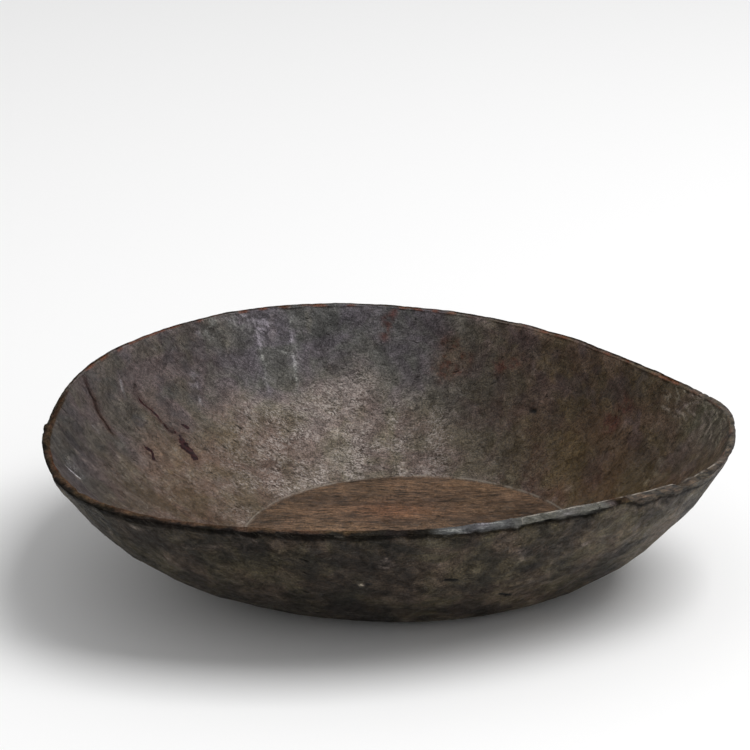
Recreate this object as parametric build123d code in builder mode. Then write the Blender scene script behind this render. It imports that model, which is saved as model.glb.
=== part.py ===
from build123d import *
from math import atan2, cos, hypot, radians, sin
import os

os.makedirs("parts", exist_ok=True)

# A wooden bowl carved from one block: a wide, slightly lopsided oval with one bluntly pointed end (+X).
# Origin at the centre of the flat foot that it rests on, +Z up. Lengths in millimetres.

# Rim
rim_height = 100.2           # height of the rim over the foot at y = 0
rim_tilt = 0.037             # rise of the rim per millimetre towards +Y
rim_edge_radius = 1.6        # rounding of the worn inner and outer rim edges

# Plan of the rim, anticlockwise from the pointed end: x, y, thickness of the wall there
rim_plan = [
    (197.5, -20, 5.5),
    (194, 6, 6.5),
    (174, 41, 7.5),
    (128, 99, 7),
    (73, 147, 7),
    (-45, 187, 6.5),
    (-116, 173, 6),
    (-208, 71, 6),
    (-223.5, 0, 6.5),
    (-188, -145, 8.5),
    (-65, -190, 9.5),
    (5, -188, 10),
    (136, -135, 10),
    (178, -96, 8.5),
]

# Worn top line of the rim, as x and drop below the tilted plane, on a plane clear of each side of the bowl
far_side_y = 200
far_rim_wear = [(-260, 0), (-150, 0.4), (-60, 0), (40, 0), (105, 0.3), (135, 1.2), (185, 0), (240, 0)]
near_side_y = -200
near_rim_wear = [(-260, 0), (-190, 0.8), (-110, 0.2), (-20, 0.8), (70, 0.2), (130, 0.6), (152, 2), (240, 0)]

# Foot and outer wall. A level runs from 0 at the foot to 1 at the rim.
foot_radius_x = 100
foot_radius_y = 91.5
outer_lean = 84.3            # end angle of the outer wall's curve, degrees from flat
outer_belly = 1.72           # exponent of the outer wall's rise
outer_flare = 1.12           # exponent of the outer wall's spread
outer_skew = 0.08            # how much slower the wall spreads at the pointed end than at the sides
outer_levels = [0, 0.1, 0.25, 0.4, 0.55, 0.7, 0.85, 1]

# Cavity, with the same kind of levels from its floor to the rim
floor_radius = 105
floor_height = 13
inner_start = 30             # angles of the inner wall's curve at the floor and at the rim, degrees
inner_end = 70
inner_flare = 1.1
inner_levels = [0, 0.18, 0.36, 0.55, 0.75, 1]
cavity_height = rim_height - floor_height

overshoot = 0.06             # how far both walls carry on above the rim, as a share of their height

# Gum fills in the left inner wall. Each is seated at the wall point nearest to its seat, and its outline is
# x down the wall and y along the wall towards the far side.
fill_depth = 4.5             # depth of a pocket into the wood
pocket_reach = 8             # how far a pocket's cutter starts inside the cavity
split_seat = (-158, 79, 60)
upper_split_outline = [(-24, -3.3), (-14, -1.6), (-4, -0.2), (-3.2, -0.9), (-5, -1.4), (-14, -3), (-23.4, -4.2)]
lower_split_outline = [(-1.5, -0.2), (3, 1.3), (6, 1.6), (8.2, 4.6), (9.6, 4), (9.2, 1), (6, -0.6), (1, -1)]
large_pit_seat = (-143, 71, 46)
large_pit_outline = [(-10.5, 4), (-8, 0), (-4, -4), (0, -4.2), (4, -2.4), (9, -4), (11, -1), (8.5, 3), (1, 3.4)]
spot_seat = (-145, 88, 55)
spot_outline = [(-3, -1.6), (0.3, -1.4), (3.2, 1.2), (2.6, 2.2), (-0.4, 1.5)]
hook_seat = (-164.5, 45.5, 53)
hook_outline = [(-5, 1), (-2, 3), (1.2, 3.2), (4, 0), (6, -2.8), (5, -4), (2.4, -1.8), (0, 0.9), (-3.8, -0.5)]


def outer_spread(level):
    """Share of the way from the foot's edge to the rim at one level of the outer wall."""
    lean = radians(outer_lean)
    return (sin(lean * level) / sin(lean)) ** outer_flare


def outer_rise(level):
    """Share of the rim's height at one level of the outer wall."""
    lean = radians(outer_lean)
    return (1 - cos(lean * level) ** outer_belly) / (1 - cos(lean) ** outer_belly)


def inner_spread(level):
    """Share of the way from the floor's edge to the inner rim at one level of the inner wall."""
    start = radians(inner_start)
    end = radians(inner_end)
    angle = start + (end - start) * level
    return ((sin(angle) - sin(start)) / (sin(end) - sin(start))) ** inner_flare


def inner_rise(level):
    """Share of the height from the floor to the rim at one level of the inner wall."""
    start = radians(inner_start)
    end = radians(inner_end)
    angle = start + (end - start) * level
    return (cos(start) - cos(angle)) / (cos(start) - cos(end))


def stations(levels, spread, rise):
    """Spread and rise of each section, and of one more above the rim at the slope that the wall has there."""
    near_rim = 0.95
    slope = (1 - spread(near_rim)) / (1 - rise(near_rim))
    return [(spread(level), rise(level)) for level in levels] + [(1 + overshoot * slope, 1 + overshoot)]


def outer_section(spread):
    """Points of the outer wall's outline: the foot's edge at spread 0, the outer rim at 1."""
    points = []
    for x, y, _ in rim_plan:
        around = atan2(y, x)
        foot_x = foot_radius_x * cos(around)
        foot_y = foot_radius_y * sin(around)
        share = spread ** (1 + outer_skew * cos(around))
        points.append((foot_x + (x - foot_x) * share, foot_y + (y - foot_y) * share))
    return points


def inner_section(spread):
    """Points of the cavity's outline: the floor's edge at spread 0, the inner rim at 1."""
    points = []
    for index, (x, y, thickness) in enumerate(rim_plan):
        before = rim_plan[index - 1]
        after = rim_plan[(index + 1) % len(rim_plan)]
        run_x = after[0] - before[0]
        run_y = after[1] - before[1]
        inward = thickness / hypot(run_x, run_y)
        rim_x = x - run_y * inward
        rim_y = y + run_x * inward
        around = atan2(rim_y, rim_x)
        floor_x = floor_radius * cos(around)
        floor_y = floor_radius * sin(around)
        points.append((floor_x + (rim_x - floor_x) * spread, floor_y + (rim_y - floor_y) * spread))
    return points


def tilted_plane(height, rise):
    """Plane at a height over the origin that leans with its rise, up to the tilt of the rim."""
    return Plane(origin=(0, 0, height), x_dir=(1, 0, 0), z_dir=(0, -rim_tilt * rise, 1))


with BuildPart() as outer_form:
    for spread, rise in stations(outer_levels, outer_spread, outer_rise):
        with BuildSketch(tilted_plane(rim_height * rise, rise)):
            with BuildLine():
                Spline(*outer_section(spread), periodic=True)
            make_face()
    loft()

with BuildPart() as cavity_form:
    for spread, rise in stations(inner_levels, inner_spread, inner_rise):
        with BuildSketch(tilted_plane(floor_height + cavity_height * rise, rise)):
            with BuildLine():
                Spline(*inner_section(spread), periodic=True)
            make_face()
    loft()

with BuildPart() as below_rim:
    for side_y, wear in ((far_side_y, far_rim_wear), (near_side_y, near_rim_wear)):
        with BuildSketch(Plane(origin=(0, side_y, 0), x_dir=(1, 0, 0), z_dir=(0, -1, 0))):
            with BuildLine():
                top = Spline(*[(x, rim_height + rim_tilt * side_y - drop) for x, drop in wear])
                Polyline(top @ 1, (wear[-1][0], 0), (wear[0][0], 0), top @ 0)
            make_face()
    loft(ruled=True)

with BuildPart() as bowl_blank:
    add(outer_form.part)
    add(cavity_form.part, mode=Mode.SUBTRACT)
    add(below_rim.part, mode=Mode.INTERSECT)
    rim_edges = bowl_blank.edges().filter_by(lambda edge: edge.center().Z > cavity_height)
    fillet(rim_edges, radius=rim_edge_radius)

inner_wall = cavity_form.faces().sort_by(SortBy.AREA)[-1]


def wall_seat(near_point):
    """Plane on the inner wall at the point nearest to near_point: x down the wall, z out of the wood."""
    _, on_wall, _ = inner_wall.distance_to_with_closest_points(Vector(*near_point))
    out = inner_wall.normal_at(on_wall) * -1
    across = out.cross(Vector(0, 0, 1)).normalized()
    return Plane(origin=on_wall, x_dir=out.cross(across), z_dir=out)


def pocket_cutter(seat, outline):
    """Prism through the wall's surface, from inside the cavity down to a pocket's flat bottom."""
    with BuildPart() as cutter:
        with BuildSketch(wall_seat(seat).offset(-fill_depth)):
            with BuildLine():
                Spline(*outline, periodic=True)
            make_face()
        extrude(amount=fill_depth + pocket_reach)
    return cutter.part


pockets = {
    "split_fill_upper": pocket_cutter(split_seat, upper_split_outline),
    "split_fill_lower": pocket_cutter(split_seat, lower_split_outline),
    "pit_fill_large": pocket_cutter(large_pit_seat, large_pit_outline),
    "pit_fill_spot": pocket_cutter(spot_seat, spot_outline),
    "pit_fill_hook": pocket_cutter(hook_seat, hook_outline),
}

for name, pocket in pockets.items():
    with BuildPart() as gum_fill:
        add(bowl_blank.part)
        add(pocket, mode=Mode.INTERSECT)
    gum_fill.part.label = name
    export_step(gum_fill.part, f"parts/{name}.step")

with BuildPart() as bowl_body:
    add(bowl_blank.part)
    for pocket in pockets.values():
        add(pocket, mode=Mode.SUBTRACT)
bowl_body.part.label = "bowl_body"
export_step(bowl_body.part, "parts/bowl_body.step")
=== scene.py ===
import math
from contextlib import contextmanager

import bmesh
import bpy
import numpy as np
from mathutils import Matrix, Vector
from mathutils.bvhtree import BVHTree
from mathutils.kdtree import KDTree


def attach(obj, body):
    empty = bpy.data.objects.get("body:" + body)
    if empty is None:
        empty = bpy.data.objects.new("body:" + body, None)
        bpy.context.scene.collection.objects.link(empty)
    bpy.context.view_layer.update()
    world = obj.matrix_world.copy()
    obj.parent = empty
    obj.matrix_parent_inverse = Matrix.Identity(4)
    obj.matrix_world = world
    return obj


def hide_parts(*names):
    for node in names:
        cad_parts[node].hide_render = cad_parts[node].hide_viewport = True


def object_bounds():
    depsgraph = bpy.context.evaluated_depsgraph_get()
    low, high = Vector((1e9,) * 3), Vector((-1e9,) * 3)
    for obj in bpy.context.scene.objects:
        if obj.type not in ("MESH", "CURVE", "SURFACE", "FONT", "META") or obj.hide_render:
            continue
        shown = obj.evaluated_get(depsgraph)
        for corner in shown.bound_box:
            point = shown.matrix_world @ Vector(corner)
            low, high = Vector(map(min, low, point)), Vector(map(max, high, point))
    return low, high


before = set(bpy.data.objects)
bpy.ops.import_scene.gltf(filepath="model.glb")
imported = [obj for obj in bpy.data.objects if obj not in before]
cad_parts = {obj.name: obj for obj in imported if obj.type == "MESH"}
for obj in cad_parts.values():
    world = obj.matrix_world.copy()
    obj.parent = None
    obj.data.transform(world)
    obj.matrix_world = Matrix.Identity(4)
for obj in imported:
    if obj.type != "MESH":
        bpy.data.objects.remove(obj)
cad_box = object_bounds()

# A bowl carved from one block of dark wood, with gum fills in its drying splits.
# The frame is in metres. Shapes are worked out in millimetres and turned into metres where a mesh is made.

MM = 0.001
SEED = 7
NOWHERE = 99.0  # a distance at which a line is never drawn
GRAIN_RISE = 300.0  # the grain climbs by x squared over this, in millimetres
PRISM_HEIGHT = 9.0  # pocket cutters reach this far from the pocket's bottom
SHARP_ANGLE = 50.0
FILL_DEPTH = 4.5  # depth of a pocket into the wood
UP = Vector((0, 0, 1))

# Sampling of the CAD surfaces
AROUND = 640  # points round the bowl
WALL_STEPS = 40  # rays up the inner wall, and down the outer one
FAN_STEPS = 72  # rays over the rim
UNDER_STEPS = 24  # rays under the belly
OUTER_START = 400.0  # rays at the outer wall start this far from the middle
RAY_GAP = 50.0  # rays from above and below start this far from the bowl
SPINE_DROP = 6.0  # the fan's centre lies this far below the lowest part of the rim
BELLY_HEIGHT = 10.0  # below this height the outer wall is sampled from underneath
FOOT_CORE = 86.0  # radius of the foot that is flat all round
RIM_TOP_DROP = 1.2  # the rim's top face is what lies within this of a section's highest point

# Rings of the mesh
RIM_BAND = 12.0  # the rings are about 1 mm apart this far each side of the rim's top
RIM_BAND_RINGS = 12
INNER_RINGS = 58  # rings from there down to the floor's edge
OUTER_RINGS = 64  # and down to the foot
FLOOR_RINGS = 50
FOOT_RINGS = 20
FULL_RINGS_DOWN = 62.0  # further down from the rim than this, the rings have half as many points


# --- numbers ---

def smooth_around(values, width):
    """Gaussian smoothing along the closed second axis."""
    reach = int(width * 4) + 1
    steps = np.arange(-reach, reach + 1)
    weights = np.exp(-0.5 * (steps / width) ** 2)
    weights /= weights.sum()
    return sum(w * np.roll(values, k, axis=1) for w, k in zip(weights, steps))


def ramp(values, low, high):
    """Smooth step from 0 at low to 1 at high."""
    t = np.clip((values - low) / (high - low), 0, 1)
    return t * t * (3 - 2 * t)


def window(values, low, high, soft):
    """1 between low and high, falling to 0 over soft outside them."""
    return ramp(values, low - soft, low) * (1 - ramp(values, high, high + soft))


def hump(values, middle, width):
    """1 at middle, falling smoothly to almost nothing at twice the width from it."""
    return np.exp(-(((values - middle) / width) ** 2))


def noise(points, size, seed):
    """Gradient noise from about -1 to 1, with lumps size millimetres apart (one size, or one per axis)."""
    rng = np.random.default_rng(seed)
    order = rng.permutation(256)
    order = np.concatenate([order, order])
    slopes = rng.normal(size=(256, 3))
    slopes /= np.linalg.norm(slopes, axis=1)[:, None]
    scaled = points / np.asarray(size, float)
    cell = np.floor(scaled).astype(int)
    inside = scaled - cell
    fade = inside ** 3 * (inside * (inside * 6 - 15) + 10)
    total = np.zeros(len(points))
    for corner in range(8):
        step = np.array([corner & 1, corner >> 1 & 1, corner >> 2 & 1])
        x, y, z = ((cell + step) & 255).T
        slope = slopes[order[order[order[x] + y] + z]]
        weight = np.prod(np.where(step, fade, 1 - fade), axis=1)
        total += weight * np.einsum("ij,ij->i", slope, inside - step)
    return total * 1.6


def clouds(points, size, seed, layers=3, gain=0.5):
    """Sum of noise layers, each half the size of the one before."""
    return sum(gain ** k * noise(points, np.asarray(size, float) / 2 ** k, seed + k) for k in range(layers))


def line_distance(points, line):
    """Distance from each point to a line, and how far along the line that is, 0 to 1."""
    nearest = np.full(len(points), 1e9)
    place = np.zeros(len(points))
    line = np.asarray(line, float)
    runs = np.linalg.norm(np.diff(line, axis=0), axis=1)
    whole = runs.sum()
    before = 0.0
    for start, end, run in zip(line[:-1], line[1:], runs):
        t = np.clip((points - start) @ (end - start) / run ** 2, 0, 1)
        gap = np.linalg.norm(points - start - t[:, None] * (end - start), axis=1)
        closer = gap < nearest
        nearest[closer] = gap[closer]
        place[closer] = (before + t[closer] * run) / whole
        before += run
    return nearest, place


# --- the shape of the CAD solid ---

def cad_tree():
    """One search tree over all CAD nodes, which together are the whole solid bowl."""
    points, faces = [], []
    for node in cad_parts.values():
        base = len(points)
        points += [vertex.co / MM for vertex in node.data.vertices]
        faces += [[base + i for i in face.vertices] for face in node.data.polygons]
    return BVHTree.FromPolygons(points, faces)


def sample_profiles(tree):
    """Radius and height along the section at each angle, from the floor's edge over the rim to the foot."""
    angles = np.linspace(0, 2 * np.pi, AROUND, endpoint=False)
    outward = [Vector((math.cos(angle), math.sin(angle), 0)) for angle in angles]
    floor_z = tree.ray_cast(UP * (cad_box[1][2] / MM + RAY_GAP), -UP)[0].z
    rim_low = floor_z
    while all(tree.ray_cast(UP * (rim_low + 0.5), out)[0] for out in outward[::8]):
        rim_low += 0.5
    spine_z = rim_low - SPINE_DROP
    shares = np.arange(WALL_STEPS + 1) / WALL_STEPS
    inner_levels = floor_z + 0.05 + (spine_z - floor_z - 0.05) * shares ** 1.5
    outer_levels = spine_z + (BELLY_HEIGHT - spine_z) * shares
    fan = np.radians(np.linspace(180, 0, FAN_STEPS + 2)[1:-1])
    sections = []
    for out in outward:
        inner = [(tree.ray_cast(UP * level, out)[0].xy.length, level) for level in inner_levels]
        outer = []
        for level in outer_levels:
            hit = tree.ray_cast(out * OUTER_START + UP * level, -out)[0]
            outer.append((hit.xy.length, level))
        spine = out * (inner[-1][0] + outer[0][0]) / 2 + UP * spine_z
        over = [tree.ray_cast(spine, out * math.cos(turn) + UP * math.sin(turn))[0] for turn in fan]
        radii = outer[-1][0] + (FOOT_CORE - outer[-1][0]) * np.linspace(0, 1, UNDER_STEPS + 1)[1:]
        under = [(radius, tree.ray_cast(out * radius - UP * RAY_GAP, UP)[0].z) for radius in radii]
        sections.append(inner + [(point.xy.length, point.z) for point in over] + outer + under)
    return angles, smooth_around(np.swapaxes(np.array(sections), 0, 1), 1.5), floor_z


def rim_middles(sections, along):
    """Middle and half width of the rim's top face on each section, as distances along the section."""
    ends = []
    for j in range(AROUND):
        high = sections[:, j, 1] > sections[:, j, 1].max() - RIM_TOP_DROP
        ends.append((along[high, j].min(), along[high, j].max()))
    low, high = smooth_around(np.array(ends).T, 3)
    return (low + high) / 2, (high - low) / 2


def resample(sections, along, start, end, rings):
    """Rings of one side of the wall, from the middle of the rim's top to the end of every section."""
    band = np.linspace(0, RIM_BAND, RIM_BAND_RINGS + 1)
    made, distances = [], []
    for j in range(AROUND):
        below = np.linspace(RIM_BAND, abs(end[j] - start[j]), rings + 1)[1:]
        places = np.concatenate([band, below])
        at = start[j] + places * np.sign(end[j] - start[j])
        made.append(np.stack([np.interp(at, along[:, j], sections[:, j, k]) for k in (0, 1)], axis=1))
        distances.append(places)
    return np.swapaxes(np.array(made), 0, 1), np.array(distances).T


def disc_rings(edge, height, count):
    """Rings that close a disc, from its edge (left out) to its middle, as radius and height."""
    shares = np.linspace(1, 0, count + 1)[1:-1]
    return np.stack([np.stack([edge * share, np.full(AROUND, height)], axis=1) for share in shares])


def bowl_rings():
    """All rings from the middle of the floor over the rim to the middle of the foot.

    Each is points, distances from the middle of the rim's top (negative inside), and half widths of that top.
    """
    angles, sections, floor_z = sample_profiles(cad_tree())
    steps = np.linalg.norm(np.diff(sections, axis=0), axis=2)
    along = np.concatenate([np.zeros((1, AROUND)), np.cumsum(steps, axis=0)])
    middle, half = rim_middles(sections, along)
    inner, inner_far = resample(sections, along, middle, along[0], INNER_RINGS)
    outer, outer_far = resample(sections, along, middle, along[-1], OUTER_RINGS)
    floor = disc_rings(inner[-1, :, 0], floor_z, FLOOR_RINGS)
    foot = disc_rings(outer[-1, :, 0], 0.0, FOOT_RINGS)
    out = np.stack([np.cos(angles), np.sin(angles)], axis=1)

    def ring(section, far, stride):
        points = np.column_stack([out * section[:, :1], section[:, 1]])
        return points[::stride], far[::stride], half[::stride]

    def wall_ring(section, far, side):
        return ring(section, side * far, 2 if far.mean() > FULL_RINGS_DOWN else 1)

    def disc_ring(section, wall, far, side):
        halvings = np.ceil(np.log2(2 * FOOT_CORE / max(section[:, 0].mean(), 1.0)))
        far = side * (far[-1] + wall[-1, :, 0] - section[:, 0])
        return ring(section, far, int(2 ** np.clip(halvings, 1, 6)))

    rings = [disc_ring(section, inner, inner_far, -1) for section in floor[::-1]]
    rings += [wall_ring(section, far, -1) for section, far in zip(inner[::-1], inner_far[::-1])]
    rings += [wall_ring(section, far, 1) for section, far in zip(outer[1:], outer_far[1:])]
    rings += [disc_ring(section, outer, outer_far, 1) for section in foot]
    return rings, floor_z


def join_rings(rings):
    """Points, distances, half widths and faces of the closed skin that runs through all rings."""
    top = [(0, 0, rings[0][0][0, 2])], [rings[0][1].min()], [0.0]
    bottom = [(0, 0, 0)], [rings[-1][1].max()], [0.0]
    counts = [len(ring) for ring, _, _ in rings]
    starts = (1 + np.cumsum([0] + counts)).tolist()
    faces = []

    def cap(start, count, middle, turned):
        for j in range(count):
            edge = [start + j, start + (j + 1) % count]
            faces.append([middle] + (edge[::-1] if turned else edge))

    cap(starts[0], counts[0], 0, False)
    for a, b, count, after in zip(starts, starts[1:], counts, counts[1:]):
        for j in range(min(count, after)):
            step = (j + 1) % min(count, after)
            if count == after:
                faces.append([a + j, b + j, b + step, a + step])
            elif after > count:
                low, middle, high = b + 2 * j, b + 2 * j + 1, b + (2 * j + 2) % after
                faces += [[a + j, low, middle], [a + j, middle, a + step], [a + step, middle, high]]
            else:
                low, middle, high = a + 2 * j, a + 2 * j + 1, a + (2 * j + 2) % count
                faces += [[low, b + j, middle], [middle, b + j, b + step], [middle, b + step, high]]
    cap(starts[-2], counts[-1], starts[-1], True)
    return *(np.concatenate(rows) for rows in zip(top, *rings, bottom)), faces


def make_mesh(name, points, faces):
    """Mesh object from points in millimetres, linked to the scene."""
    mesh = bpy.data.meshes.new(name)
    mesh.from_pydata([tuple(point * MM) for point in points], [], faces)
    mesh.update()
    piece = bpy.data.objects.new(name, mesh)
    bpy.context.scene.collection.objects.link(piece)
    return piece


def read(layer, name, count, width=1):
    """Numbers of a mesh layer, width of them to a row."""
    flat = np.zeros(count * width)
    layer.foreach_get(name, flat)
    return flat.reshape(-1, width)


@contextmanager
def edited(piece):
    """The piece's mesh, open for editing and written back at the end."""
    mesh = bmesh.new()
    mesh.from_mesh(piece.data)
    yield mesh
    mesh.to_mesh(piece.data)
    mesh.free()


def points_of(piece):
    """Vertex places in millimetres."""
    return read(piece.data.vertices, "co", len(piece.data.vertices), 3) / MM


def values_of(piece, name):
    """One number per vertex, from a stored attribute."""
    return read(piece.data.attributes[name].data, "value", len(piece.data.vertices))[:, 0]


def store(piece, name, values):
    """Stores one number per vertex, which the materials read by name."""
    layer = piece.data.attributes.get(name) or piece.data.attributes.new(name, "FLOAT", "POINT")
    layer.data.foreach_set("value", np.asarray(values, np.float32))


# --- carving and wear of the bowl ---

# Cuts left by the adze: spacing of the cuts, half widths across and down the wall, and depths
INNER_FACETS = {"spacing": 14.0, "width": (9.0, 13.0), "length": (12.0, 18.0), "depth": (0.8, 1.5)}
FLUTES = {"spacing": 17.0, "width": (8.5, 11.0), "length": (26.0, 40.0), "depth": (1.0, 1.9)}
OUTER_FACETS = {"spacing": 19.0, "width": (13.0, 20.0), "length": (14.0, 24.0), "depth": (0.8, 1.7)}

FLUTE_RIDGES = [
    [(-106, 170, 102), (-102, 165, 94), (-99, 158, 82), (-96, 149, 70), (-94, 141, 58)],
    [(-80, 174, 98), (-79, 169, 89), (-78, 162, 79), (-77, 155, 69), (-74, 146, 60)],
    [(-140, 125, 77), (-137, 112, 63)],
    [(-58, 178, 97), (-56, 170, 85), (-54, 161, 72)],
]
SCRATCHES = [
    [(-185, 82, 88), (-182, 73, 79)],
    [(-197, 24, 79), (-194, 24, 76), (-191, 20, 73)],
    [(-99, 160, 86), (-88, 161, 82), (-79, 162, 79)],
]
RIM_CRACK = [(-206, 57, 101), (-203, 53, 95), (-199, 49, 88), (-196, 44, 83), (-193, 40, 78), (-187, 36, 71)]
HAIR_CRACKS = [
    [(-216, -19, 97), (-209, -18, 88), (-198, -10, 75), (-187, -6, 64), (-176, -8, 56)],
    [(-211, -52, 91), (-203, -47, 81), (-194, -39, 71), (-184, -30, 61)],
    [(-136, 77, 44), (-120, 90, 40), (-105, 100, 37)],
]
OUTER_DASHES = [
    [(18, -161, 52), (24, -159, 51)],
    [(50, -135, 32), (56, -130, 29)],
    [(72, -167, 90), (77, -166, 90)],
    [(-27, -165, 51), (-25, -165, 51)],
]
OUTER_BLOTCHES = [(-151, -157, 75, 9), (-105, -170, 70, 11), (-64, -150, 37, 8), (-37, -151, 34, 7)]
OUTER_SCRATCHES = [
    [(-161, -160, 87), (-143, -167, 84), (-111, -173, 77)],
    [(-179, -143, 82), (-169, -128, 61)],
    [(127, -135, 84), (130, -120, 67), (120, -119, 57)],
    [(138, -128, 86), (147, -113, 75), (161, -103, 79)],
    [(83, -149, 68), (97, -141, 66), (112, -134, 70)],
]
DENT_GLINT = [(-205, -56, 84), (-201, -53, 79), (-197, -53, 75)]
THUMB_DENT = (-203, -48, 80)
BLACK_PIT = [(77, 111, 57), (79, 110, 57)]
RING_DENTS = [(-173, 66, 67), (-153, 108, 73)]
GLINT_DOTS = [(-142, 7, 33), (-139, 4, 31), (-33, 164, 82), (-29, 163, 82), (-30, -165, 50)]
END_PITS = [
    (-222, -36, 98), (-219, -60, 97), (-222, -14, 100), (-218, -25, 100), (-219, -4, 101), (-216, -47, 98),
]
RUST_RUN = [(-8, 178, 106), (-16, 174, 98), (-17, 169, 88)]
WORN_RED = [
    (26, 157, 86, 7), (33, 149, 77, 7), (22, 150, 73, 8), (59, 137, 79, 5), (66, 134, 83, 5),
    (135, 65, 77, 6), (126, 67, 65, 7), (60, 155, 95, 6),
]
PALE_SPOTS = [(-100, 169, 99, 8), (-93, 168, 97, 6), (-136, 153, 102, 9), (-115, 165, 103, 8)]
TIP_SPOT = (180, 5, 88)
CRACK_SPOT = (-177, 87, 82)
CRACK_SHADE = (-172, 78, 82)

# Places and stretches on the rim, in degrees from +X
NOTCH_ANGLE = -36  # the step in the near rim
LEFT_CORNER = 187  # the outer rim is worn back up to here, which leaves a corner
BELOW_CORNER = (197, 205)
FLUTED = (70, 135)
ROUNDED = (8, 168)
RAGGED_RIM = (-181, -95)
BEVEL_CUT = (-86, -50)
BEVEL_COLOUR = (-84, -55)
BROWN_BEVEL = (-69, -50)
CRACKED_TIP = (-33, 8)
TIP_RIM = (-46, 10)
BROKEN_LIP = (-46, -10)
BROKEN_LIP_INSIDE = (-36, -10)
PLUM_EDGE = (-22, 9)
SCUFFED_TIP = (-9, 14)
FAR_RIM = (10, 166)
NEAR_RIM = (-180, 10)
NEAR_LEFT_RIM = (-168, -88)
THICK_DARK_RIM = (-165, -90)
BLACK_RIM = (-97, -83)
AMBER_EDGE = (-176, -86)
DARK_UNDER_RIM = (-166, -14)
MATT_UNDER_RIM = (-150, -14)
PALE_EDGE = (-70, -24)


def scatter(points, spacing, rng):
    """Indices of points picked at random, none nearer to another than spacing."""
    free = np.ones(len(points), bool)
    picked = []
    for index in rng.permutation(len(points)):
        if free[index]:
            picked.append(index)
            free &= np.linalg.norm(points - points[index], axis=1) > spacing
    return picked


def scoops(points, normals, where, facets, rng):
    """Depth of the shallow cuts that an adze leaves over the points chosen by where."""
    local, up = points[where], normals[where]
    deepest = np.zeros(len(local))
    for index in scatter(local, facets["spacing"], rng):
        across = np.cross(up[index], (0, 0, 1))
        across /= np.linalg.norm(across) + 1e-9
        turn = rng.normal(0, 0.22)
        down = np.cross(up[index], across)
        across, down = (across * math.cos(turn) + down * math.sin(turn),
                        down * math.cos(turn) - across * math.sin(turn))
        gap = local - local[index]
        spread = (gap @ across / rng.uniform(*facets["width"])) ** 2
        spread += (gap @ down / rng.uniform(*facets["length"])) ** 2
        np.maximum(deepest, rng.uniform(*facets["depth"]) * (1 - spread), out=deepest)
    depth = np.zeros(len(points))
    depth[where] = deepest
    return depth


def refine(piece, lines, reach, cuts):
    """Splits the faces that lie near any of the lines, so that they can hold fine detail."""
    with edited(piece) as mesh:
        centres = np.array([face.calc_center_median() for face in mesh.faces]) / MM
        near = np.zeros(len(centres), bool)
        for line in lines:
            near |= line_distance(centres, line)[0] < reach
        mesh.faces.ensure_lookup_table()
        edges = {edge for index in np.flatnonzero(near) for edge in mesh.faces[index].edges}
        bmesh.ops.subdivide_edges(mesh, edges=list(edges), cuts=cuts, use_grid_fill=True)


def distance_to(points, place):
    """Distance from each point to a place."""
    return np.linalg.norm(points - place, axis=1)


def near_place(points, place, radius):
    """1 at a place, falling smoothly to almost nothing at twice the radius."""
    return hump(distance_to(points, place), 0, radius)


def near_line(points, line, width):
    """1 on a line, falling smoothly to almost nothing at twice the width."""
    return hump(line_distance(points, line)[0], 0, width)


def shaken(points, reach, size, seed):
    """Points moved about by up to reach, to make straight lines wander."""
    return points + reach * np.stack([noise(points, size, seed + k) for k in range(3)], axis=1)


class Surface:
    """Where each vertex of the uncarved bowl lies, and the noises that its shape and colours share."""

    def __init__(self, points, far, half, floor_edge):
        self.points = points
        self.x, self.y, self.z = points.T
        self.angle = np.degrees(np.arctan2(self.y, self.x))
        self.radius = np.hypot(self.x, self.y)
        self.floor_edge = floor_edge

        # Distances from the middle of the rim's top (negative inside), and from the top's edges
        self.far = far
        self.half = half
        self.inside = far < 0
        self.off_rim = np.maximum(np.abs(far) - half, 0)
        self.below_inner = -far - half
        self.below_outer = far - half

        # The rim unrolled, for marks that run across it
        self.unrolled = np.column_stack([self.angle * 3, far, 0 * self.z])

        self.flat_floor = self.inside & (self.radius < floor_edge)
        self.floor = ramp(-self.radius, -floor_edge - 0.8, -floor_edge + 0.8) * self.inside
        self.wall = self.inside * (1 - self.floor)
        self.outside = ~self.inside & (self.below_outer > 0) | (far > half * 0.9)
        self.cloud = clouds(points, 45, 61, 4)
        self.fine = clouds(points, 5, 63, 2)
        self.low = 1 - ramp(self.z + 16 * self.cloud, 38, 78)
        self.loose = shaken(points, 1.6, 7, 57)
        self.from_crack, self.along_crack = line_distance(shaken(points, 2.6, 8, 59), RIM_CRACK)


def adze_cuts(at, normals):
    """Depth of the adze's cuts at each vertex."""
    rng = np.random.default_rng(SEED)
    down = np.abs(at.far)
    wall = at.inside & ~at.flat_floor
    flutes = window(at.angle, *FLUTED, 8) * window(down, 0, 50, 14) * wall
    facets = scoops(at.points, normals, wall, INNER_FACETS, rng)
    by_flutes = wall & (at.angle > FLUTED[0] - 15) & (at.angle < FLUTED[1] + 15)
    grooves = scoops(at.points, normals, by_flutes, FLUTES, rng)
    above_floor = ramp(at.radius, at.floor_edge, at.floor_edge + 12)
    inner = (facets * (1 - flutes) + grooves * flutes) * ramp(down, 1, 8) * above_floor
    outer = scoops(at.points, normals, ~at.inside & (at.z > 1.5), OUTER_FACETS, rng)
    return inner + outer * (ramp(down, 2, 9) * ramp(at.z, 1, 16))


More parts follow.
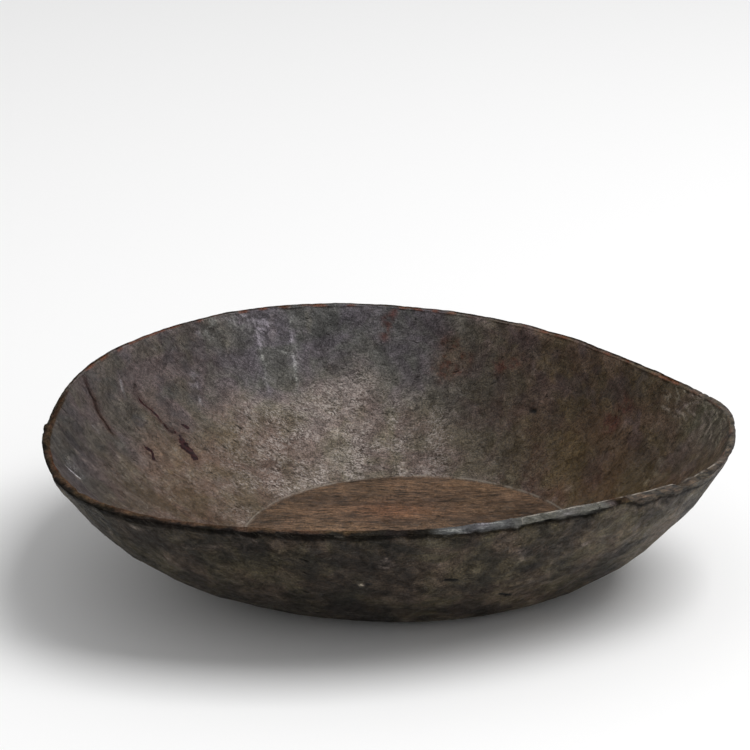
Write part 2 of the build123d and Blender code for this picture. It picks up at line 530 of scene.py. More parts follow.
def unevenness(at):
    """Offset of the hand-worn skin: ridges between the flutes, low swells, and a slightly hollow floor."""
    offset = np.zeros(len(at.points))
    for ridge in FLUTE_RIDGES:
        gap = line_distance(at.points, ridge)[0]
        offset += at.inside * (1.0 * hump(gap, 0, 1.6) - 0.9 * hump(gap, 8, 5))
    offset -= 0.35 * (1 + clouds(at.points, 60, 11)) * ramp(at.z, 1, 16) * ~at.flat_floor
    offset += 0.14 * clouds(at.points, 7, 21) * ramp(at.z, 1, 5)
    offset += 0.07 * clouds(at.points, 3, 31) * ramp(at.z, 1, 5)
    hollow = 0.3 * (1 - (at.radius / at.floor_edge) ** 2)
    offset += at.flat_floor * (0.16 * clouds(at.points, (40, 9, 9), 41) - hollow)
    # A fine groove at the floor's edge, where the wall was undercut
    offset -= 0.7 * at.inside * hump(at.radius, at.floor_edge, 1.4)
    return offset


def rim_wear(at):
    """Offset of the rim's wear: nicks all round, a bevel, a notch, a corner, and cracks by the tip."""
    points, angle = at.points, at.angle
    near_rim = hump(at.off_rim, 0, 3.5)
    ragged = np.maximum(0.8 * window(angle, *RAGGED_RIM, 10) + 0.5 * (angle > 170), 0.22)
    nicks = ramp(noise(points, 9, 51), 0.1, 0.7) + 0.45 * ramp(noise(points, 4, 52), 0.15, 0.8)
    offset = -near_rim * ragged * nicks * 1.5
    offset -= near_rim * 0.4 * (1 + noise(points, 26, 53))
    bevel = window(angle, *BEVEL_CUT, 10)
    offset -= bevel * (1.6 + 0.6 * noise(points, 11, 54)) * hump(at.below_outer, 0.5, 3.2)
    offset -= 0.6 * bevel * hump(at.below_outer, 5.5, 1.1) * ramp(noise(points, 15, 55), -0.4, 0.4)
    offset -= 0.9 * window(angle, *ROUNDED, 8) * hump(at.below_inner, 0.3, 2.6)
    offset -= 2.4 * hump(angle, NOTCH_ANGLE, 1.1) * hump(at.far, 0, 7)
    turned = angle % 360
    worn_back = ramp(turned, LEFT_CORNER - 32, LEFT_CORNER - 8)
    worn_back *= 1 - ramp(turned, LEFT_CORNER - 1.5, LEFT_CORNER)
    worn_back += 0.4 * window(turned, *BELOW_CORNER, 4)
    offset -= 2.2 * worn_back * hump(np.maximum(at.below_outer, 0), 0, 6) * (at.far > -at.half)
    cracks = np.abs(noise(points, (14, 9, 9), 56)) < 0.07
    offset -= 0.5 * cracks * window(angle, *CRACKED_TIP, 5) * hump(at.off_rim, 0, 2.0)
    return offset


def damage(at):
    """Offset of the cracks, dashes, dents and pits."""
    offset = -0.8 * at.inside * hump(at.from_crack, 0, 1.3 - 0.4 * at.along_crack)
    for line in HAIR_CRACKS:
        offset -= 0.4 * at.inside * near_line(at.loose, line, 0.9)
    for line in OUTER_DASHES:
        offset -= 0.8 * ~at.inside * near_line(at.points, line, 1.3)
    offset -= 1.6 * at.inside * near_place(at.points, THUMB_DENT, 15)
    offset -= 1.6 * at.inside * near_line(at.points, BLACK_PIT, 1.6)
    for place in RING_DENTS:
        offset -= 0.4 * at.inside * hump(distance_to(at.points, place), 4.2, 1.2)
    return offset


# --- colour ---

def linear(red, green, blue):
    """Linear colour from display values of 0 to 255."""
    display = np.array([red, green, blue]) / 255
    return np.where(display <= 0.04045, display / 12.92, ((display + 0.055) / 1.055) ** 2.4)


SLATE = linear(82, 81, 85)
UMBER = linear(82, 64, 48)
FLOOR_BROWN = linear(90, 69, 51)
SADDLE = linear(102, 85, 66)
OLIVE = linear(83, 65, 41)
CHARCOAL = linear(56, 48, 37)
SOOT = linear(22, 18, 13)
RIM_BROWN = linear(74, 58, 44)
BEVEL_BLUE = linear(66, 68, 74)
RUST = linear(116, 62, 34)
STAIN = linear(58, 34, 24)
DUST_AND_SHEEN = linear(158, 148, 136)
FLOOR_RED = linear(110, 62, 40)
FROST_AND_GLINT = linear(150, 149, 153)
TIP_GREY = linear(86, 82, 70)
MOSS = linear(78, 69, 54)
WORN_SPOT = linear(70, 34, 28) * (1.15, 1.3, 0.85)
WORN_RUN = linear(70, 34, 28) * 1.2
PLUM = linear(50, 38, 40)
YELLOWING = np.array([0.0, 0.02, 0.14])  # share of each channel lost at the right end


class Paint:
    """The colour of each vertex, built up in layers."""

    def __init__(self, colour, count):
        self.rows = np.tile(colour, (count, 1))

    def lay(self, colour, share):
        """Moves each vertex towards a colour by its own share."""
        share = np.clip(share, 0, 1)[:, None]
        self.rows = self.rows * (1 - share) + colour * share

    def shade(self, share):
        """Makes each vertex brighter by its own share, or darker where that is negative."""
        self.rows *= (1 + share)[:, None]


def patina(at, cuts):
    """Broad colours of the old wood, before any mark on it."""
    points, x, y, z = at.points, at.x, at.y, at.z
    inside, outside, floor, wall = at.inside, at.outside, at.floor, at.wall
    patch = clouds(points, 24, 62, 4, 0.6)
    left = 1 - ramp(x, -150, -95)

    tint = Paint(SLATE, len(points))
    tint.lay(UMBER, 0.06 + 0.54 * ramp(x, -20, 100) + 0.45 * left)
    tint.lay(SADDLE, at.low * (1 - ramp(x, 0, 90)) * (0.65 + 0.35 * left))
    tint.lay(OLIVE, ramp(x, 20, 120) * (0.6 + 0.4 * at.low))
    tint.lay(RUST * 0.6, ramp(patch, 0.0, 0.5) * ramp(x, -10, 60) * 0.25)
    tint.rows *= 1 - (inside * ramp(x, 0, 60))[:, None] * YELLOWING
    tint.lay(FLOOR_BROWN, floor)
    tint.lay(FLOOR_RED, floor * hump(x, -12, 28) * hump(y, 45, 16) * 0.3)
    tint.lay(CHARCOAL, outside * 1.0)
    tint.lay(SOOT, outside * ramp(patch, 0.0, 0.4) * 0.65)
    tint.lay(MOSS, outside * ramp(-patch, 0.0, 0.4) * 0.45)
    tint.lay(SLATE * 0.5, wall * (1 - 0.6 * at.low) * ramp(patch, 0.05, 0.4) * 0.45)
    tint.shade(0.45 * outside * clouds(points, 60, 73, 2))
    tint.shade(0.6 * floor * clouds(points, (60, 20, 20), 74, 3))
    tint.shade(0.3 * wall * clouds(points, 38, 75, 2))

    # Painted shade in the hollows of the adze cuts
    tint.shade(-0.2 * ramp(cuts, 0.4, 1.6))
    # Painted shade on the left of the outer wall, and painted light on its middle, as the light falls from
    # the right
    tint.shade(-0.12 * outside * ramp(-x, 20, 160))
    tint.shade(0.12 * outside * window(x, 60, 100, 30))
    near_left = wall * ramp(-x, 60, 130) * ramp(-y, -60, 20)
    tint.lay(FLOOR_BROWN * 0.75, near_left * ramp(-z, -75, -40) * 0.75)
    tint.shade(-0.2 * inside * near_place(points, CRACK_SHADE, 32))
    tint.shade(-0.4 * near_left)
    # Painted light on the right of the outer wall
    tint.shade(0.28 * outside * window(x, 30, 130, 50))
    tint.shade(0.14 * inside * window(x, -10, 110, 30) * ramp(z, 70, 90))
    tint.shade(-0.24 * wall * window(x, 5, 60, 25) * (1 - ramp(z, 62, 84)))

    # Dust on the edges between the cuts, with a painted highlight along them, and a painted sheen of pale
    # light on the lower far wall
    edges = (1 - ramp(cuts, 0.05, 0.5)) * (1 - floor) * ramp(at.off_rim, 0, 6)
    tint.lay(DUST_AND_SHEEN, edges * ramp(at.fine, -0.3, 0.4) * 0.2)
    # Painted sheen: a pool of pale light on the lower far wall
    tint.lay(DUST_AND_SHEEN, hump(x, -55, 62) * hump(z, 42, 26) * (y > 40) * wall * 0.3)
    tint.lay(FLOOR_BROWN * 0.85, wall * window(x, -150, -85, 30) * ramp(-z, -62, -35) * 0.6)
    return tint


def add_marks(at, tint, fills):
    """Colours the stains, cracks, scuffs, scratches and dots on the walls."""
    points, loose, fine, inside = at.points, at.loose, at.fine, at.inside

    def draw(lines, width, colour, share):
        """Wandering lines down the inner wall."""
        for line in lines:
            tint.lay(colour, inside * near_line(loose, line, width) * share)

    worn = inside * np.clip(1.4 * sum(near_place(points, spot[:3], spot[3]) for spot in WORN_RED), 0, 1)
    tint.lay(UMBER, worn * 0.65)
    tint.lay(WORN_SPOT, worn * ramp(fine + 0.45 * ramp(at.x, 80, 110), 0.0, 0.35) * 0.85)
    draw([RUST_RUN], 3.0, WORN_RUN, ramp(fine, -0.3, 0.2))
    crack = inside * hump(at.from_crack, 0, 5)
    tint.lay(STAIN, crack * (0.25 + 0.4 * ramp(at.along_crack, 0.1, 0.7)))
    crack = inside * hump(at.from_crack, 0, 1.6)
    tint.lay(STAIN * 0.25, crack * ramp(fine, -0.9, -0.2))
    tint.lay(STAIN * 0.5, inside * near_place(loose, CRACK_SPOT, 2.4))
    draw(HAIR_CRACKS, 0.8, SOOT * 0.6, ramp(fine, -0.7, 0.1) * 0.8)
    for place in OUTER_BLOTCHES:
        share = near_place(points * (1, 1, 1.6), np.multiply(place[:3], (1, 1, 1.6)), place[3])
        tint.lay(SOOT, ~inside * share * ramp(fine, -0.9, 0.0) * 0.8)
    for line in OUTER_SCRATCHES:
        share = near_line(shaken(points, 3, 14, 78), line, 1.3) * ramp(noise(points, 8, 79), -0.4, 0.3)
        tint.lay(DUST_AND_SHEEN * 0.7, ~inside * share * 0.55)
    for line in OUTER_DASHES:
        tint.lay(SOOT * 0.1, ~inside * near_line(points, line, 1.3) * 1.5)
    tint.lay(SOOT * 0.2, inside * near_line(points, BLACK_PIT, 1.7) * 1.6)
    draw(fills, 3, STAIN, 0.45 + 0.4 * ramp(fine, -0.2, 0.4))
    for place in RING_DENTS:
        tint.lay(SLATE * 0.35, inside * hump(distance_to(points, place), 3.6, 1.6) * 0.6)
    pale = sum(near_place(points, spot[:3], spot[3]) for spot in PALE_SPOTS) * ramp(fine, -0.1, 0.5)
    tint.lay(FROST_AND_GLINT, inside * pale * 0.6)
    tint.lay(TIP_GREY * 1.1, inside * near_place(points, TIP_SPOT, 24) * 0.8)
    scuffs = 1 - ramp(np.abs(noise(at.unrolled, (12, 5, 9), 76)), 0.02, 0.12)
    scuffs *= window(at.angle, *SCUFFED_TIP, 3) * window(-at.far, 4, 20, 5)
    tint.lay(DUST_AND_SHEEN * 0.8, inside * scuffs * 0.75)
    # Painted highlights: small bright glints
    for place in GLINT_DOTS:
        tint.lay(DUST_AND_SHEEN * 1.5, near_place(points, place, 1.1))
    # Pale lines along the flute ridges: painted highlights, partly whitish dust
    shown = ramp(noise(points, 7, 66), -0.3, 0.35)
    for line in FLUTE_RIDGES[:3]:
        draw([line], 0.9, FROST_AND_GLINT * 1.3, shown * 0.7)
        draw([line], 3.5, FROST_AND_GLINT, ramp(fine, -0.4, 0.6) * 0.35)
    draw(SCRATCHES, 0.7, FROST_AND_GLINT, 0.6)
    tint.lay(FROST_AND_GLINT * 2.4, inside * near_line(points, DENT_GLINT, 1.0) * ramp(fine, -0.9, -0.2))


def add_rim(at, tint):
    """Colours the rim, and says how much of each vertex is rim, dark rim, dark undercut and bevel.

    The rim is dark brown and rusty, grey on the bevel, tan and cracked by the tip, and thin at the far side.
    """
    points, angle, inside, fine = at.points, at.angle, at.inside, at.fine
    below_inner, below_outer = at.below_inner, at.below_outer
    across = at.far / np.maximum(at.half, 0.5)
    bevelled = window(angle, *BEVEL_COLOUR, 4)
    tip = window(angle, *TIP_RIM, 5)
    far_side = window(angle, *FAR_RIM, 12)
    left_end = ramp(np.abs(angle), 156, 176)
    broken_lip = window(angle, *BROKEN_LIP, 5)
    wander = noise(points, 12, 68) + 0.7 * noise(points, 4, 69)

    band_top = np.where(inside, -below_inner, -below_outer)
    reach = 3.2 * bevelled + 4.2 * broken_lip + 1.4 * window(angle, *THICK_DARK_RIM, 8)
    reach = np.where(inside, 1.6 * left_end + 5.5 * window(angle, *BROKEN_LIP_INSIDE, 6), reach)
    reach += 1.4 * wander * ~inside
    rim = ramp(band_top, -1.6 - reach, 0.2 - reach)
    rim *= 1 - far_side * (1 - ramp(across + 0.25 * wander, -0.25, 0.1))
    dark = rim * (1 - bevelled) * (1 - tip)
    tint.lay(SOOT * 0.8, dark * 0.95)
    brown = ramp(0.8 * noise(points, 4, 70) + 0.3 * wander - across, -0.6, 0.4)
    brown *= (1 - 0.9 * window(angle, *BLACK_RIM, 3)) * (1 - 0.6 * far_side) * (1 - 0.3 * left_end)
    tint.lay(RIM_BROWN, dark * brown)

    bevel = rim * bevelled
    streaks = noise(at.unrolled, (10, 2.6, 9), 72)
    # Painted highlights: bright streaks along the bevel
    bevel_glints_shown = ramp(streaks, -0.05, 0.5) * ramp(noise(points, 14, 71), -0.35, 0.2)
    brown_end = window(angle, *BROWN_BEVEL, 5)
    tint.lay(BEVEL_BLUE * 0.4, bevel * 0.95)
    tint.lay(TIP_GREY * 0.75, bevel * brown_end * 0.7)
    tint.lay(FROST_AND_GLINT * 0.8, bevel * bevel_glints_shown * (1 - 0.6 * brown_end))
    tint.lay(MOSS * 0.8, rim * tip * 0.85)
    tint.lay(SADDLE * 0.9, rim * tip * ramp(streaks, -0.05, 0.4) * 0.6)
    lip_cracks = np.abs(noise(points, (14, 9, 9), 56)) < 0.07
    lip_cracks |= np.abs(noise(points, (9, 9, 4), 58)) < 0.05
    tint.lay(SOOT * 0.5, rim * tip * lip_cracks * 0.85)
    outer_edge = ~inside * window(angle, *PLUM_EDGE, 4) * hump(below_outer, 0.8, 2.8)
    tint.lay(PLUM, outer_edge * ramp(fine, -0.9, -0.1) * 0.85)
    for place in END_PITS:
        tint.lay(SOOT * 0.4, near_place(at.loose, place, 3.0) * 1.2)

    # Dark band under the rim: a ragged black edge, with the painted shadow of the undercut
    lip_left = window(angle, *NEAR_LEFT_RIM, 8)
    under_at = 2.0 + 3.0 * bevelled + 4.4 * broken_lip + 1.2 * lip_left + 1.3 * wander
    under = ~inside * hump(below_outer, under_at, 1.5 + 0.9 * lip_left)
    tint.lay(SOOT * 0.4, under * window(angle, *DARK_UNDER_RIM, 8) * 0.9)
    rust_at = np.where(far_side > 0.5, (across + 0.45) / 0.55, (below_inner + 0.8) / 1.3)
    flecks = ramp(noise(points, 9, 65), -0.1, 0.35) * hump(rust_at, 0, 1)
    flecks *= (0.9 - 0.7 * bevelled) * (1 - 0.5 * window(angle, *NEAR_RIM, 6)) * (1 - 0.7 * left_end)
    tint.lay(RUST * 0.7, flecks)
    tint.shade(0.55 * rim * (1 - bevelled) * noise(points, 5, 77))
    amber = hump(below_inner, -0.5, 0.9) * window(angle, *AMBER_EDGE, 14)
    tint.lay(RUST * 0.5, amber * ramp(fine, -0.5, 0.3) * 0.35)
    return rim, dark, under, bevel


def paint(at, cuts, fills):
    """Broad colour of each vertex, its roughness, and how much of each fine pattern shows there."""
    tint = patina(at, cuts)
    add_marks(at, tint, fills)
    rim, dark, under, bevel = add_rim(at, tint)
    dent = at.inside * near_place(at.points, THUMB_DENT, 14)
    matt = dark + under * window(at.angle, *MATT_UNDER_RIM, 8)
    rough = np.clip(0.42 + 0.08 * at.cloud, 0.3, 0.6)
    rough = np.where(at.inside, rough, rough + 0.1)
    rough = np.where(dark > 0.5, 0.8, rough)
    rough -= 0.18 * bevel + 0.22 * dent
    shine = np.where(at.outside, 0.19, 0.36)
    shine = np.where(matt > 0.5, 0.06, shine)
    shine = np.where(at.inside * near_line(at.loose, RIM_CRACK, 3) > 0.5, 0.1, shine)
    shine += 0.4 * bevel + 0.4 * dent
    # Where pale fibres show on the lower far wall: real pale fibres, with a painted sheen where the light
    # falls there
    fibre_and_sheen = at.wall * (1 - rim) * (0.1 + 0.9 * at.low)
    fibre_and_sheen *= (1 - 0.92 * ramp(at.x, -12, 48)) * (1 - 0.7 * ramp(-at.x, 75, 130))
    edge_gap = -at.far - 0.4 * at.half + NOWHERE * (1 - window(at.angle, *PALE_EDGE, 4))
    return tint.rows, {
        "rough": rough,
        "shine": shine,
        "fibre_and_sheen": fibre_and_sheen,
        "grain": 0.3 + 0.6 * at.floor,
        "bend": (1 - at.floor) * at.x ** 2 / GRAIN_RISE * MM,
        "floor": at.floor,
        "outside": at.outside * 1.0,
        "floor_gap": np.where(at.inside, at.radius - at.floor_edge, NOWHERE),
        "edge_gap": np.where(at.far < at.half, edge_gap, NOWHERE),
    }


def store_colour(piece, name, colours):
    """Stores one colour per vertex, which the materials read by name."""
    layer = piece.data.color_attributes.new(name, "FLOAT_COLOR", "POINT")
    rows = np.column_stack([colours, np.ones(len(colours))])
    layer.data.foreach_set("color", rows.astype(np.float32).ravel())


# --- the bowl and its gum fills ---

def pocket_loop(node):
    """Outline of a fill's flat bottom, in order, and the direction out of the wood."""
    mesh = node.data
    normals = np.array([face.normal for face in mesh.polygons])
    areas = np.array([face.area for face in mesh.polygons])
    alike = normals @ normals.T > 0.9999
    flat = normals[np.argmax(alike @ areas)]
    bottom = [face for face, normal in zip(mesh.polygons, normals) if normal @ flat > 0.9999]
    spots = [tuple(round(part / MM, 3) for part in vertex.co) for vertex in mesh.vertices]
    edges = set()
    for face in bottom:
        ring = [spots[i] for i in face.vertices]
        edges |= set(zip(ring, ring[1:] + ring[:1]))
    following = dict(edge for edge in edges if edge[::-1] not in edges)
    loop = [next(iter(sorted(following)))]
    while following[loop[-1]] != loop[0]:
        loop.append(following[loop[-1]])
    return np.array(loop), -flat / np.linalg.norm(flat)


def pocket_prism(name, node, ragged):
    """Closed prism with a ragged outline, from a pocket's bottom to well above the wood."""
    loop, out = pocket_loop(node)
    closed = np.vstack([loop, loop[:1]])
    along = np.concatenate([[0], np.cumsum(np.linalg.norm(np.diff(closed, axis=0), axis=1))])
    places = np.arange(0, along[-1], 0.5)
    outline = np.stack([np.interp(places, along, closed[:, k]) for k in range(3)], axis=1)
    inward = np.cross(out, np.roll(outline, -1, axis=0) - np.roll(outline, 1, axis=0))
    inward /= np.linalg.norm(inward, axis=1)[:, None]
    middle = outline.mean(axis=0)
    if np.einsum("ij,ij->i", inward, middle - outline).sum() < 0:
        inward = -inward
    outline += inward * ragged * (0.5 + noise(outline, 2.6, 81) + 0.5 * noise(outline, 1.3, 84))[:, None]
    count = len(outline)
    points = np.vstack([outline, outline + out * PRISM_HEIGHT])
    faces = [list(range(count))[::-1], [count + j for j in range(count)]]
    faces += [[j, (j + 1) % count, count + (j + 1) % count, count + j] for j in range(count)]
    prism = make_mesh(name, points, faces)
    with edited(prism) as mesh:
        bmesh.ops.triangulate(mesh, faces=mesh.faces, quad_method="BEAUTY", ngon_method="EAR_CLIP")
        bmesh.ops.recalc_face_normals(mesh, faces=mesh.faces)
    return prism, out


def cut(piece, tool, operation):
    """Applies a boolean with the tool to the piece."""
    modifier = piece.modifiers.new("cut", "BOOLEAN")
    modifier.operation = operation
    modifier.solver = "MANIFOLD"
    modifier.object = tool
    shown = piece.evaluated_get(bpy.context.evaluated_depsgraph_get())
    result = bpy.data.meshes.new_from_object(shown)
    piece.modifiers.clear()
    piece.data = result


def cover(piece, material):
    """Gives all faces of a piece one material."""
    piece.data.materials.clear()
    piece.data.materials.append(material)
    piece.data.polygons.foreach_set("material_index", [0] * len(piece.data.polygons))


def fill_line(prism, out):
    """Line through a pocket's outline from end to end, near the wood's surface."""
    points = points_of(prism)
    points = points[: len(points) // 2] + out * FILL_DEPTH
    first = points[np.argmax(points[:, 2])]
    last = points[np.argmin(points[:, 2])]
    return [tuple(first), tuple(last)]


def soften(piece):
    """Smooth shading, but for edges as sharp as a pocket's."""
    piece.data.polygons.foreach_set("use_smooth", [True] * len(piece.data.polygons))
    piece.data.set_sharp_from_angle(angle=math.radians(SHARP_ANGLE))


def build_body(fill_lines):
    """The carved bowl as one closed skin, still without pockets."""
    rings, floor_z = bowl_rings()
    points, distances, halves, faces = join_rings(rings)
    body = make_mesh("carved_body", points, faces)
    store(body, "from_rim", distances)
    store(body, "rim_half", halves)
    refine(body, [RIM_CRACK] + fill_lines, 5.0, 2)
    refine(body, FLUTE_RIDGES[:3] + SCRATCHES + [DENT_GLINT], 2.5, 1)
    refine(body, OUTER_DASHES + [BLACK_PIT], 2.5, 2)
    points = points_of(body)
    far = values_of(body, "from_rim")
    half = values_of(body, "rim_half")
    on_floor = points[(far < 0) & (points[:, 2] < floor_z + 0.2)]
    floor_edge = np.hypot(on_floor[:, 0], on_floor[:, 1]).max()
    at = Surface(points, far, half, floor_edge)
    normals = read(body.data.vertex_normals, "vector", len(points), 3)
    cuts = adze_cuts(at, normals)
    shift = unevenness(at) + rim_wear(at) + damage(at) - cuts
    carved = points + normals * shift[:, None]
    body.data.vertices.foreach_set("co", (carved * MM).ravel())
    return body, carved, *paint(at, cuts, fill_lines)


def dress(piece, known, tint, values):
    """Gives each vertex the colour and values worked out for the nearest of the known points."""
    tree = KDTree(len(known))
    for index, point in enumerate(known):
        tree.insert(point, index)
    tree.balance()
    nearest = np.array([tree.find(point)[1] for point in points_of(piece)])
    store_colour(piece, "tint", tint[nearest])
    for name, numbers in values.items():
        store(piece, name, numbers[nearest])


def build_gum(name, body, prism, out):
    """One fill: the part of the uncut bowl that lies in its pocket, with a lumpy skin."""
    gum = body.copy()
    gum.data = body.data.copy()
    gum.name = name
    bpy.context.scene.collection.objects.link(gum)
    cut(gum, prism, "INTERSECT")
    with edited(gum) as mesh:
        top = [face for face in mesh.faces if face.normal.dot(Vector(out)) > 0.5]
        top_edges = list({edge for face in top for edge in face.edges})
        bmesh.ops.subdivide_edges(mesh, edges=top_edges, cuts=1, use_grid_fill=True)
        mesh.normal_update()
        for vertex in mesh.verts:
            if all(face.normal.dot(Vector(out)) > 0.3 for face in vertex.link_faces):
                place = np.array([vertex.co]) / MM
                lump = 0.35 * noise(place, 3.0, 82)[0] + 0.15 * noise(place, 1.3, 83)[0] - 0.15
                vertex.co += Vector(out) * (lump * MM)
    return gum


# --- materials ---

MUTED_PLUM = (1.07, 0.98, 1.05, 1)
MUTED_OLIVE = (0.97, 1.0, 0.87, 1)
BLOTCH_GREY = (0.55, 0.55, 0.56, 1)
FIBRE_GAP = (0.35, 0.33, 0.31, 1)
PALE_FIBRE_AND_SHEEN = (0.52, 0.46, 0.42, 1)
VEIN_BLACK = (0.010, 0.008, 0.006, 1)
PORE_BLACK = (0.005, 0.004, 0.003, 1)
SCUFF_PALE = (0.17, 0.155, 0.13, 1)
DUST_LINE = (0.32, 0.28, 0.23, 1)
GUM_DARK = (0.007, 0.002, 0.003, 1)
GUM_RED = (0.036, 0.008, 0.009, 1)


class Shader:
    """One material, with short names for its nodes."""

    def __init__(self, name):
        self.material = bpy.data.materials.new(name)
        self.material.use_nodes = True
        self.tree = self.material.node_tree
        self.surface = self.tree.nodes["Principled BSDF"]

    def node(self, kind, inputs=None, **settings):
        """New node, with its settings and inputs."""
        made = self.tree.nodes.new(kind)
        for key, value in settings.items():
            setattr(made, key, value)
        for key, value in (inputs or {}).items():
            self.link(value, made.inputs[key])
        return made

    def link(self, value, socket):
        if isinstance(value, bpy.types.NodeSocket):
            self.tree.links.new(value, socket)
        else:
            socket.default_value = value

    def attribute(self, name, output="Fac"):
        return self.node("ShaderNodeAttribute", attribute_name=name).outputs[output]

    def places(self):
        return self.node("ShaderNodeTexCoord").outputs["Object"]

    def along_grain(self, squeeze):
        """Object coordinates squeezed along the grain, which runs along X and bends up with the walls."""
        parts = self.node("ShaderNodeSeparateXYZ", {0: self.places()})
        x = self.times(parts.outputs["X"], squeeze)
        z = self.math("SUBTRACT", parts.outputs["Z"], self.attribute("bend"))
        return self.node("ShaderNodeCombineXYZ", {"X": x, "Y": parts.outputs["Y"], "Z": z}).outputs[0]

    def noise(self, places, scale, detail=4.0, roughness=0.55, distortion=0.0):
        inputs = {"Vector": places, "Scale": scale, "Detail": detail, "Roughness": roughness}
        return self.node("ShaderNodeTexNoise", inputs | {"Distortion": distortion}).outputs["Fac"]

    def range(self, value, low, high, out_low=0.0, out_high=1.0):
        inputs = {"Value": value, "From Min": low, "From Max": high, "To Min": out_low, "To Max": out_high}
        return self.node("ShaderNodeMapRange", inputs, interpolation_type="SMOOTHSTEP").outputs["Result"]

    def math(self, operation, first, second):
        return self.node("ShaderNodeMath", {0: first, 1: second}, operation=operation).outputs[0]

    def times(self, first, second):
        return self.math("MULTIPLY", first, second)

    def near(self, value, middle, low, high):
        """1 within low of the middle, falling to 0 at high from it."""
        gap = self.math("ABSOLUTE", self.math("SUBTRACT", value, middle), 0.0)
        return self.range(gap, low, high, 1.0, 0.0)

    def mix(self, base, colour, share, how="MIX"):
        inputs = {"Factor": share, "A": base, "B": colour}
        return self.node("ShaderNodeMix", inputs, data_type="RGBA", blend_type=how).outputs["Result"]

    def bump(self, height, distance, strength, **below):
        inputs = {"Height": height, "Distance": distance, "Strength": strength}
        return self.node("ShaderNodeBump", inputs | below).outputs["Normal"]

    def finished(self, inputs):
        """The material, with the inputs of its surface."""
        for key, value in inputs.items():
            self.link(value, self.surface.inputs[key])
        return self.material


def wood_material():
    """Old waxed hardwood: broad colour from the mesh, with mottling, grain, pale fibres with a painted sheen
    on them, veins and pores.
    """
    s = Shader("patinated_wood")
    plain = s.places()
    outside = s.attribute("outside")
    hue = s.noise(plain, 34, 3, 0.55, 0.8)
    plum_to_olive = s.mix(MUTED_PLUM, MUTED_OLIVE, s.range(hue, 0.38, 0.62))
    hue_share = s.math("SUBTRACT", 1.0, s.times(s.attribute("floor"), 0.85))
    colour = s.mix(s.attribute("tint", "Color"), plum_to_olive, hue_share, "MULTIPLY")
    mottle = s.noise(plain, 130, 8, 0.74, 1.0)
    mottle_share = s.math("SUBTRACT", 1.0, s.times(s.attribute("floor"), 0.5))
    mottle_share = s.times(mottle_share, s.math("ADD", s.times(outside, 0.3), 0.7))
    colour = s.mix(colour, s.range(mottle, 0.32, 0.68, 0.55, 1.5), mottle_share, "MULTIPLY")
    grit = s.noise(plain, 1000, 4, 0.75)
    colour = s.mix(colour, s.range(grit, 0.32, 0.68, 0.36, 1.74), 1.0, "MULTIPLY")
    blotch = s.range(s.noise(plain, 48, 5, 0.65, 1.2), 0.48, 0.64)
    colour = s.mix(colour, BLOTCH_GREY, s.times(blotch, outside), "MULTIPLY")

    lines = s.noise(s.along_grain(0.2), 520, 6, 0.72, 0.8)
    colour = s.mix(colour, s.range(lines, 0.35, 0.65, 0.15, 1.85), s.attribute("grain"), "MULTIPLY")

    specks = s.noise(s.along_grain(0.6), 560, 6, 0.74, 1.6)
    fibre_and_sheen = s.times(s.range(specks, 0.47, 0.6), s.attribute("fibre_and_sheen"))
    fibre_and_sheen = s.times(fibre_and_sheen, s.range(s.noise(plain, 48, 5, 0.65), 0.4, 0.58))
    gaps = s.times(s.range(specks, 0.36, 0.5, 1.0, 0.0), s.attribute("fibre_and_sheen"))
    colour = s.mix(colour, FIBRE_GAP, gaps, "MULTIPLY")
    # Pale fibres, brightened as a painted sheen
    colour = s.mix(colour, PALE_FIBRE_AND_SHEEN, s.times(fibre_and_sheen, 0.9))

    wavy = s.noise(s.along_grain(0.6), 150, 7, 0.68, 2.2)
    veins = s.near(wavy, 0.5, 0.0, 0.018)
    broken = s.range(s.noise(plain, 60, 3), 0.42, 0.6)
    dark_veins = s.times(s.times(veins, broken), 0.62)
    colour = s.mix(colour, VEIN_BLACK, dark_veins)
    pores = s.range(s.noise(s.along_grain(0.28), 380, 3), 0.67, 0.72)
    colour = s.mix(colour, PORE_BLACK, s.times(pores, 0.8))
    scuffs = s.near(s.noise(s.along_grain(0.35), 85, 5, 0.65, 1.6), 0.5, 0.0, 0.008)
    scuffs = s.times(scuffs, s.range(s.noise(plain, 75, 3), 0.47, 0.6))
    scuffs = s.times(scuffs, s.math("ADD", s.times(outside, 0.3), 0.25))
    colour = s.mix(colour, SCUFF_PALE, scuffs)

    dusty = s.range(s.noise(plain, 130, 3), 0.36, 0.6)
    crease = s.near(s.attribute("floor_gap"), 0.5, 0.1, 0.6)
    edge = s.near(s.attribute("edge_gap"), 0.0, 0.3, 0.9)
    dust = s.times(s.math("MAXIMUM", s.times(crease, 0.6), edge), dusty)
    colour = s.mix(colour, DUST_LINE, dust)

    wax = s.noise(plain, 230, 4)
    roughness = s.math("ADD", s.attribute("rough"), s.range(wax, 0.3, 0.7, -0.08, 0.12))
    hidden = s.math("MAXIMUM", s.times(pores, 0.8), dark_veins)
    shine = s.times(s.attribute("shine"), s.range(mottle, 0.35, 0.65, 0.55, 1.5))
    shine = s.times(shine, s.math("SUBTRACT", 1.0, s.times(hidden, 0.9)))
    height = s.math("ADD", specks, s.times(lines, 0.6))
    height = s.math("SUBTRACT", height, s.times(veins, 0.4))
    normal = s.bump(mottle, 0.0024, 0.6, Normal=s.bump(height, 0.0009, 0.55))
    return s.finished(
        {"Base Color": colour, "Roughness": roughness, "Specular IOR Level": shine, "Normal": normal})


def gum_material():
    """Hard dark red-brown plant gum."""
    s = Shader("dark_gum")
    clots = s.noise(s.places(), 420, 4, 0.6)
    colour = s.mix(GUM_DARK, GUM_RED, s.range(clots, 0.35, 0.65))
    normal = s.bump(clots, 0.0006, 0.4)
    return s.finished({"Base Color": colour, "Roughness": 0.5, "Specular IOR Level": 0.13, "Normal": normal})


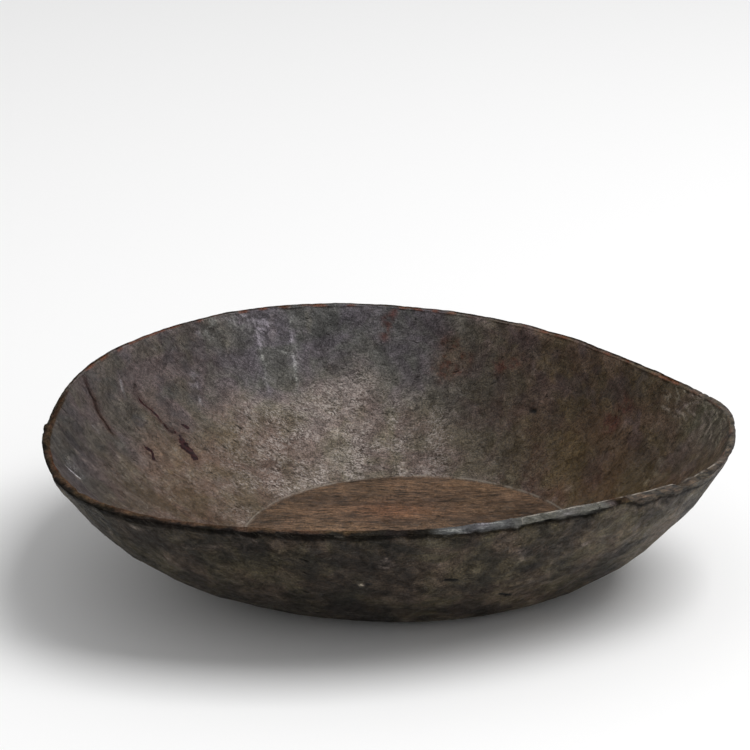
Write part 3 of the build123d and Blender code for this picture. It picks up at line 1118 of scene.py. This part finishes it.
# How far each fill's outline strays inward, in millimetres
RAGGED = {
    "split_fill_upper": 0.15,
    "split_fill_lower": 0.15,
    "pit_fill_large": 1.4,
    "pit_fill_spot": 0.3,
    "pit_fill_hook": 0.15,
}
prisms = {}
for name, ragged in RAGGED.items():
    prisms[name] = pocket_prism(name + "_cutter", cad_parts[name], ragged)
body, known, tint, values = build_body([fill_line(prism, out) for prism, out in prisms.values()])
wood = wood_material()
gum = gum_material()
for name, (prism, out) in prisms.items():
    piece = build_gum("gum_" + name, body, prism, out)
    cover(piece, gum)
    soften(piece)
    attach(piece, "root")
    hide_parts(name)
for prism, _ in prisms.values():
    cut(body, prism, "DIFFERENCE")
    bpy.data.objects.remove(prism)
dress(body, known, tint, values)
cover(body, wood)
soften(body)
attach(body, "root")
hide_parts("bowl_body")


# --- stage, light and camera ---

GROUND_REACH = 4000.0  # the floor ends this far from the bowl, in millimetres


def stage():
    """Plain pale floor."""
    corners = np.array([(-1, -1, 0), (1, -1, 0), (1, 1, 0), (-1, 1, 0)]) * GROUND_REACH
    floor = make_mesh("ground", corners, [(0, 1, 2, 3)])
    cover(floor, Shader("ground").finished({"Base Color": (0.93, 0.93, 0.93, 1), "Roughness": 0.9}))


def softbox():
    """Area light high on the right, which faces the bowl."""
    lamp = bpy.data.lights.new("softbox_right", "AREA")
    lamp.shape = "RECTANGLE"
    lamp.size = 2.2
    lamp.size_y = 2.2
    lamp.energy = 92
    holder = bpy.data.objects.new("softbox_right", lamp)
    place = Vector((1.5, -0.2, 3.2))
    holder.location = place
    holder.rotation_euler = (Vector((0, 0, 0.05)) - place).to_track_quat("-Z", "Y").to_euler()
    bpy.context.scene.collection.objects.link(holder)


def camera():
    """Long lens, level with X, looking down on the bowl from the near side."""
    lens = bpy.data.cameras.new("view")
    lens.sensor_width = 36
    lens.lens = 142.6
    lens.shift_x = -0.0173
    lens.shift_y = 0.0533
    lens.clip_start = 0.1
    holder = bpy.data.objects.new("view", lens)
    distance = 1.8
    elevation = math.radians(20)
    aim = Vector((-0.015, -0.017, 0.1))
    holder.location = aim + Vector((0, -math.cos(elevation), math.sin(elevation))) * distance
    holder.rotation_euler = (math.radians(90) - elevation, 0, 0)
    bpy.context.scene.collection.objects.link(holder)
    bpy.context.scene.camera = holder


def surroundings():
    """A dim even room, which the camera sees as a white backdrop."""
    world = bpy.data.worlds.new("studio")
    world.use_nodes = True
    nodes, links = world.node_tree.nodes, world.node_tree.links
    mix = nodes.new("ShaderNodeMix")
    links.new(nodes.new("ShaderNodeLightPath").outputs["Is Camera Ray"], mix.inputs["Factor"])
    mix.inputs["A"].default_value = 0.52
    mix.inputs["B"].default_value = 1.0
    nodes["Background"].inputs["Color"].default_value = (1, 1, 1, 1)
    links.new(mix.outputs["Result"], nodes["Background"].inputs["Strength"])
    bpy.context.scene.world = world


stage()
camera()
softbox()
surroundings()
bpy.context.scene.view_settings.view_transform = "Standard"
